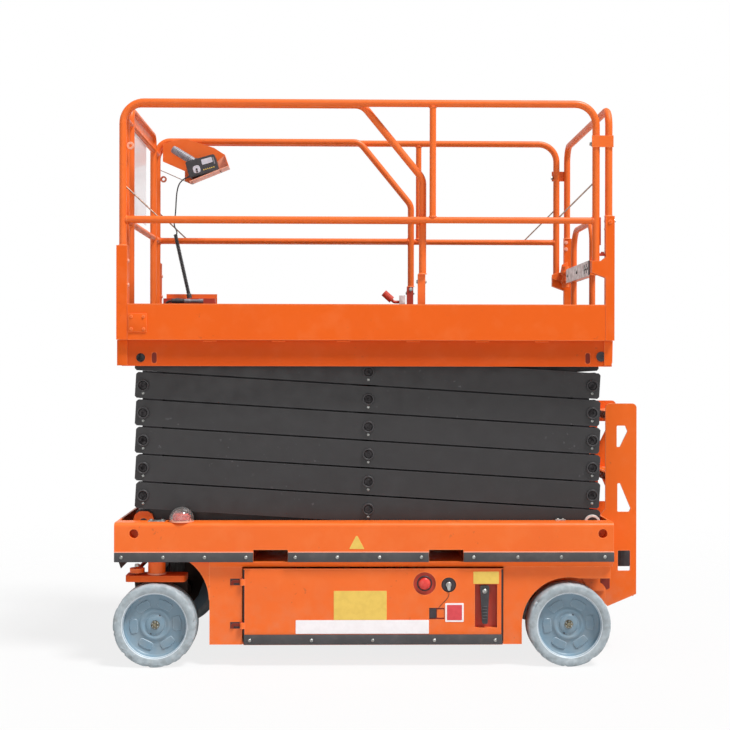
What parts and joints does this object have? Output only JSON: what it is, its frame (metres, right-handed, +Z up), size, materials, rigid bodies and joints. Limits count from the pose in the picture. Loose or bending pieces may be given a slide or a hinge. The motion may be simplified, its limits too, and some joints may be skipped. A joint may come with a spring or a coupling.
{
  "type": "scissor lift",
  "caption": "Self-propelled electric scissor lift, stowed, with a stacked folding arm set, a railed platform with an extension deck, an entry ladder and solid tyres.",
  "frame": {"origin": "centre of the machine's plan on the ground", "axes": "+X towards the entry ladder, -X the steered end, -Y the side with the base controls, +Z up"},
  "size_m": [2.4735, 1.172, 2.6019],
  "materials": {
    "orange": "gloss",
    "arm_grey": "satin",
    "tyre": "matt",
    "rim": "satin",
    "dark": "satin",
    "plastic": "matt",
    "chrome": "polished",
    "white": "gloss",
    "lens": "clear",
    "red": "gloss",
    "zinc": "galvanised",
    "cable": "matt"
  },
  "bodies": {
    "chassis": {"chassis_frame": "orange", "side_box_near": "orange", "side_box_far": "orange", "ladder": "orange", "arch_sheets": "orange", "power_unit_block": "dark", "battery_block": "dark", "beacon": "lens", "front_axle": "dark", "rear_axle": "dark"},
    "door_near": {"door_near": "orange", "stop_button": "red"},
    "knuckle_near": {"knuckle_near": "orange"},
    "door_far": {"door_far": "orange"},
    "knuckle_far": {"knuckle_far": "orange"},
    "tie_rod": {"tie_rod": "dark"},
    "wheel_front_near": {"tyre_front_near": "tyre", "rim_front_near": "rim"},
    "wheel_front_far": {"tyre_front_far": "tyre", "rim_front_far": "rim"},
    "wheel_rear_near": {"tyre_rear_near": "tyre", "rim_rear_near": "rim"},
    "wheel_rear_far": {"tyre_rear_far": "tyre", "rim_rear_far": "rim"},
    "outer_arms_1": {"outer_arms_1": "arm_grey"},
    "inner_arms_1": {"inner_arms_1": "arm_grey"},
    "outer_arms_2": {"outer_arms_2": "arm_grey"},
    "inner_arms_2": {"inner_arms_2": "arm_grey"},
    "outer_arms_3": {"outer_arms_3": "arm_grey"},
    "inner_arms_3": {"inner_arms_3": "arm_grey"},
    "outer_arms_4": {"outer_arms_4": "arm_grey"},
    "inner_arms_4": {"inner_arms_4": "arm_grey"},
    "outer_arms_5": {"outer_arms_5": "arm_grey"},
    "inner_arms_5": {"inner_arms_5": "arm_grey"},
    "outer_arms_6": {"outer_arms_6": "arm_grey"},
    "inner_arms_6": {"inner_arms_6": "arm_grey"},
    "cylinder_barrel_lower": {"cylinder_barrel_lower": "arm_grey"},
    "cylinder_rod_lower": {"cylinder_rod_lower": "chrome"},
    "cylinder_barrel_upper": {"cylinder_barrel_upper": "arm_grey"},
    "cylinder_rod_upper": {"cylinder_rod_upper": "chrome"},
    "platform": {"platform_frame": "orange", "toe_boards": "orange", "side_rail_near": "orange", "side_rail_far": "orange", "rear_hoop": "orange"},
    "gate": {"entry_gate": "orange"},
    "extension": {"extension_deck": "orange", "extension_rail_near": "orange", "extension_rail_far": "orange", "front_rail": "orange", "sign_board": "white", "control_bracket": "orange", "control_box": "plastic", "control_grip": "zinc", "floor_box": "orange", "deck_handle": "zinc", "control_cord": "cable", "cord_coil": "cable", "cord_plug": "cable"}
  },
  "joints": [
    {"name": "lift_fold", "type": "hinge", "parent": "chassis", "child": "inner_arms_1", "pos_m": [-1.1185, 0, 0.648], "axis": [0, -1, 0], "range_deg": [0, 56.5]},
    {"name": "outer_arms_1_fold", "type": "hinge", "parent": "inner_arms_1", "child": "outer_arms_1", "pos_m": [-0.07176, 0, 0.71202], "axis": [0, -1, 0], "range_deg": [-113, 0]},
    {"name": "outer_arms_2_fold", "type": "hinge", "parent": "inner_arms_1", "child": "outer_arms_2", "pos_m": [0.97499, 0, 0.77604], "axis": [0, -1, 0], "range_deg": [-113, 0]},
    {"name": "inner_arms_2_fold", "type": "hinge", "parent": "outer_arms_2", "child": "inner_arms_2", "pos_m": [-0.07176, 0, 0.84006], "axis": [0, -1, 0], "range_deg": [0, 113]},
    {"name": "inner_arms_3_fold", "type": "hinge", "parent": "outer_arms_2", "child": "inner_arms_3", "pos_m": [-1.1185, 0, 0.90409], "axis": [0, -1, 0], "range_deg": [0, 113]},
    {"name": "outer_arms_3_fold", "type": "hinge", "parent": "inner_arms_3", "child": "outer_arms_3", "pos_m": [-0.07176, 0, 0.96811], "axis": [0, -1, 0], "range_deg": [-113, 0]},
    {"name": "outer_arms_4_fold", "type": "hinge", "parent": "inner_arms_3", "child": "outer_arms_4", "pos_m": [0.97499, 0, 1.03213], "axis": [0, -1, 0], "range_deg": [-113, 0]},
    {"name": "inner_arms_4_fold", "type": "hinge", "parent": "outer_arms_4", "child": "inner_arms_4", "pos_m": [-0.07176, 0, 1.09615], "axis": [0, -1, 0], "range_deg": [0, 113]},
    {"name": "inner_arms_5_fold", "type": "hinge", "parent": "outer_arms_4", "child": "inner_arms_5", "pos_m": [-1.1185, 0, 1.16017], "axis": [0, -1, 0], "range_deg": [0, 113]},
    {"name": "outer_arms_5_fold", "type": "hinge", "parent": "inner_arms_5", "child": "outer_arms_5", "pos_m": [-0.07176, 0, 1.22419], "axis": [0, -1, 0], "range_deg": [-113, 0]},
    {"name": "outer_arms_6_fold", "type": "hinge", "parent": "inner_arms_5", "child": "outer_arms_6", "pos_m": [0.97499, 0, 1.28822], "axis": [0, -1, 0], "range_deg": [-113, 0]},
    {"name": "inner_arms_6_fold", "type": "hinge", "parent": "outer_arms_6", "child": "inner_arms_6", "pos_m": [-0.07176, 0, 1.35224], "axis": [0, -1, 0], "range_deg": [0, 113]},
    {"name": "platform_level", "type": "hinge", "parent": "outer_arms_6", "child": "platform", "pos_m": [-1.1185, 0, 1.41626], "axis": [0, -1, 0], "range_deg": [0, 56.5]},
    {"name": "cylinder_tilt_lower", "type": "hinge", "parent": "inner_arms_1", "child": "cylinder_barrel_lower", "pos_m": [0.76568, 0, 0.76324], "axis": [0, -1, 0], "range_deg": [-120.21, 0]},
    {"name": "cylinder_stroke_lower", "type": "slide", "parent": "cylinder_barrel_lower", "child": "cylinder_rod_lower", "axis": [-0.9958, 0, 0.0914], "range_m": [0, 0.65371]},
    {"name": "cylinder_tilt_upper", "type": "hinge", "parent": "inner_arms_4", "child": "cylinder_barrel_upper", "pos_m": [0.76568, 0, 1.14737], "axis": [0, -1, 0], "range_deg": [-120.21, 0]},
    {"name": "cylinder_stroke_upper", "type": "slide", "parent": "cylinder_barrel_upper", "child": "cylinder_rod_upper", "axis": [-0.9958, 0, 0.0914], "range_m": [0, 0.65371]},
    {"name": "extension_slide", "type": "slide", "parent": "platform", "child": "extension", "axis": [-1, 0, 0], "range_m": [0, 0.9]},
    {"name": "gate_swing", "type": "hinge", "parent": "platform", "child": "gate", "pos_m": [1.015, 0.512, 1.86], "axis": [0, 0, -1], "range_deg": [0, 90]},
    {"name": "door_near_swing", "type": "hinge", "parent": "chassis", "child": "door_near", "pos_m": [-0.652, -0.566, 0.28], "axis": [0, 0, -1], "range_deg": [0, 100]},
    {"name": "door_far_swing", "type": "hinge", "parent": "chassis", "child": "door_far", "pos_m": [-0.652, 0.566, 0.28], "axis": [0, 0, 1], "range_deg": [0, 100]},
    {"name": "steer_near", "type": "hinge", "parent": "chassis", "child": "knuckle_near", "pos_m": [-1.0495, -0.5, 0.421], "axis": [0, 0, 1], "range_deg": [-40, 40]},
    {"name": "steer_far", "type": "hinge", "parent": "chassis", "child": "knuckle_far", "pos_m": [-1.0495, 0.5, 0.421], "axis": [0, 0, 1], "range_deg": [-40, 40]},
    {"name": "tie_rod_swing", "type": "hinge", "parent": "knuckle_near", "child": "tie_rod", "pos_m": [-1.1395, -0.5, 0.434], "axis": [0, 0, 1], "range_deg": [-40, 40]},
    {"name": "wheel_front_near_roll", "type": "hinge", "parent": "knuckle_near", "child": "wheel_front_near", "pos_m": [-1.0495, -0.5215, 0.1905], "axis": [0, 1, 0], "continuous": true},
    {"name": "wheel_front_far_roll", "type": "hinge", "parent": "knuckle_far", "child": "wheel_front_far", "pos_m": [-1.0495, 0.5215, 0.1905], "axis": [0, 1, 0], "continuous": true},
    {"name": "wheel_rear_near_roll", "type": "hinge", "parent": "chassis", "child": "wheel_rear_near", "pos_m": [0.8525, -0.5215, 0.1905], "axis": [0, 1, 0], "continuous": true},
    {"name": "wheel_rear_far_roll", "type": "hinge", "parent": "chassis", "child": "wheel_rear_far", "pos_m": [0.8525, 0.5215, 0.1905], "axis": [0, 1, 0], "continuous": true}
  ],
  "couplings": [
    {"joint": "outer_arms_1_fold", "follows": "lift_fold", "ratio": -2},
    {"joint": "outer_arms_2_fold", "follows": "lift_fold", "ratio": -2},
    {"joint": "inner_arms_2_fold", "follows": "lift_fold", "ratio": 2},
    {"joint": "inner_arms_3_fold", "follows": "lift_fold", "ratio": 2},
    {"joint": "outer_arms_3_fold", "follows": "lift_fold", "ratio": -2},
    {"joint": "outer_arms_4_fold", "follows": "lift_fold", "ratio": -2},
    {"joint": "inner_arms_4_fold", "follows": "lift_fold", "ratio": 2},
    {"joint": "inner_arms_5_fold", "follows": "lift_fold", "ratio": 2},
    {"joint": "outer_arms_5_fold", "follows": "lift_fold", "ratio": -2},
    {"joint": "outer_arms_6_fold", "follows": "lift_fold", "ratio": -2},
    {"joint": "inner_arms_6_fold", "follows": "lift_fold", "ratio": 2},
    {"joint": "platform_level", "follows": "lift_fold", "ratio": 1},
    {"joint": "cylinder_tilt_lower", "follows": "lift_fold", "ratio": -2.1275},
    {"joint": "cylinder_stroke_lower", "follows": "lift_fold", "m_per_rad": 0.66282},
    {"joint": "cylinder_tilt_upper", "follows": "lift_fold", "ratio": -2.1275},
    {"joint": "cylinder_stroke_upper", "follows": "lift_fold", "m_per_rad": 0.66282},
    {"joint": "steer_far", "follows": "steer_near", "ratio": 1},
    {"joint": "tie_rod_swing", "follows": "steer_near", "ratio": -1}
  ]
}
